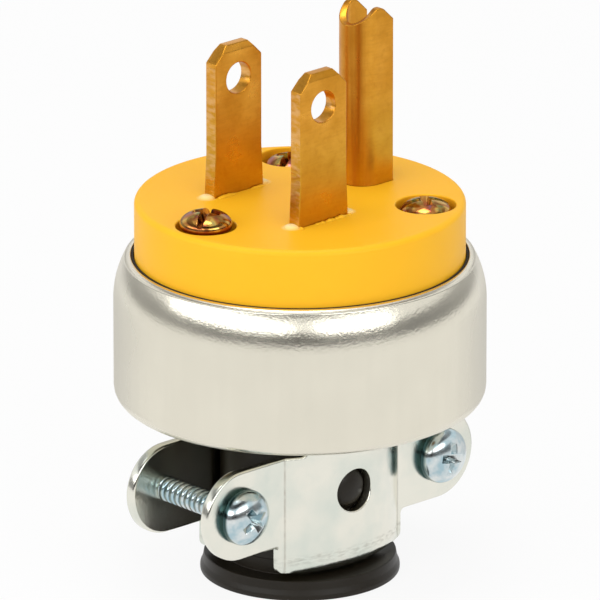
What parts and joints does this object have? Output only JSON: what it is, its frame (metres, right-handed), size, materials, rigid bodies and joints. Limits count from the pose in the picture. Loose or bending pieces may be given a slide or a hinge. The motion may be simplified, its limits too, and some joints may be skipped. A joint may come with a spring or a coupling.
{
  "type": "power plug",
  "caption": "Grounded mains plug with flat blades and a folded ground pin, in a moulded insert held by a pressed steel shell, with a screwed cord clamp round a rubber grommet.",
  "frame": {"origin": "on the plug's axis, in the plane of the grommet's end face, on which the plug stands", "axes": "+Z along the plug's axis, from the cord end to the prongs; +Y from the blades towards the ground pin; +X towards the heads of the clamp screws"},
  "size_m": [0.0382, 0.038, 0.0588],
  "materials": {
    "yellow_plastic": "moulded, half gloss",
    "brass": "rolled and punched, faintly brushed",
    "nickel_plate": "bright nickel plate",
    "green_lacquer": "green lacquer",
    "gold_chromate": "yellow chromate, iridescent",
    "black_fibre": "matte fibre sheet",
    "zinc_shell": "satin zinc plate",
    "bright_zinc": "bright zinc plate",
    "zinc_screw": "bluish zinc plate",
    "black_rubber": "matte moulded rubber"
  },
  "bodies": {
    "root": {"face_insert": "yellow_plastic", "blade_hot": "brass", "blade_neutral": "brass", "ground_pin": "brass", "terminal_screw_hot": "brass", "terminal_screw_neutral": "nickel_plate", "terminal_screw_ground": "green_lacquer", "face_screws": "gold_chromate", "shell_liner": "black_fibre", "armor_shell": "zinc_shell", "clamp_front": "bright_zinc", "clamp_rear": "bright_zinc", "clamp_screws": "zinc_screw", "cord_grommet": "black_rubber"}
  },
  "joints": []
}
